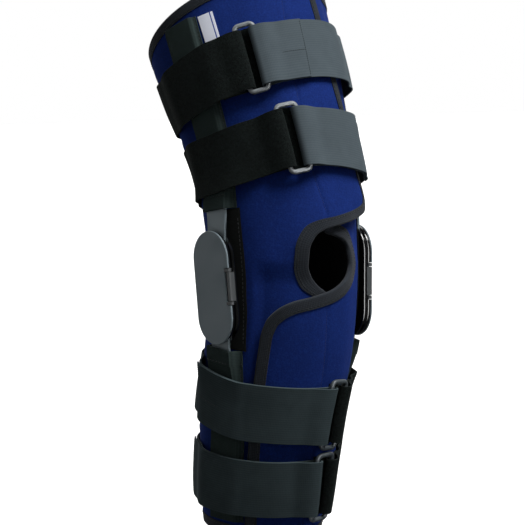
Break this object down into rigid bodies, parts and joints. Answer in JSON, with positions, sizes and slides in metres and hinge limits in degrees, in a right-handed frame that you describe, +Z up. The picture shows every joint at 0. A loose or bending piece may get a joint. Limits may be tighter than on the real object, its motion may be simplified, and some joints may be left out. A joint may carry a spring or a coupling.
{
  "type": "hinged wrap-around knee brace",
  "caption": "Blue neoprene knee brace with a kneecap opening, lidded side hinges with arms in cloth pockets, and pull straps folded back through rings above and below the knee.",
  "frame": {"origin": "on the leg's axis, midway between the two knee hinges, where the leg fills the brace", "axes": "+Z up the leg, -Y to the front of the knee, +X to the right seen from the front"},
  "size_m": [0.1791, 0.2087, 0.4987],
  "materials": {
    "neoprene": "matt blue knit face over foam neoprene",
    "binding": "dark ribbed edge tape, folded and stitched",
    "pocket": "black brushed cloth, stitched",
    "thigh_webbing": "grey ribbed elastic webbing",
    "calf_webbing": "charcoal ribbed elastic webbing",
    "loop_pile": "black fuzzy loop pile",
    "ring": "grey moulded plastic, satin",
    "housing": "black moulded plastic, glossy",
    "cover": "grey moulded plastic, fine grain",
    "arm": "dark grey anodised",
    "label": "pale woven label, blank"
  },
  "bodies": {
    "brace": {"wrap_sleeve": "neoprene", "blank_label": "label", "upper_flap_binding": "binding", "lower_flap_binding": "binding", "top_hem_binding": "binding", "bottom_hem_binding": "binding", "left_hinge_pad": "pocket", "left_hinge_housing": "housing", "left_upper_arm": "arm", "left_lower_arm": "arm", "left_upper_pocket": "pocket", "left_lower_pocket": "pocket", "right_hinge_pad": "pocket", "right_hinge_housing": "housing", "right_upper_arm": "arm", "right_lower_arm": "arm", "right_upper_pocket": "pocket", "right_lower_pocket": "pocket", "upper_thigh_pull_strap": "thigh_webbing", "upper_thigh_loop_strap": "loop_pile", "upper_thigh_ring": "ring", "lower_thigh_pull_strap": "thigh_webbing", "lower_thigh_loop_strap": "loop_pile", "lower_thigh_ring": "ring", "upper_calf_pull_strap": "calf_webbing", "upper_calf_loop_strap": "loop_pile", "upper_calf_ring": "ring", "lower_calf_pull_strap": "calf_webbing", "lower_calf_loop_strap": "loop_pile", "lower_calf_ring": "ring"},
    "left_cover": {"left_hinge_cover": "cover"},
    "right_cover": {"right_hinge_cover": "cover"}
  },
  "joints": [
    {"name": "left_cover_hinge", "type": "hinge", "parent": "brace", "child": "left_cover", "pos_m": [-0.07412, -0.02606, 0.00222], "axis": [-0.0247, 0.1065, 0.994], "range_deg": [0, 110]},
    {"name": "right_cover_hinge", "type": "hinge", "parent": "brace", "child": "right_cover", "pos_m": [0.07289, -0.02931, 0.00036], "axis": [-0.0205, -0.0267, -0.9994], "range_deg": [0, 110]}
  ]
}
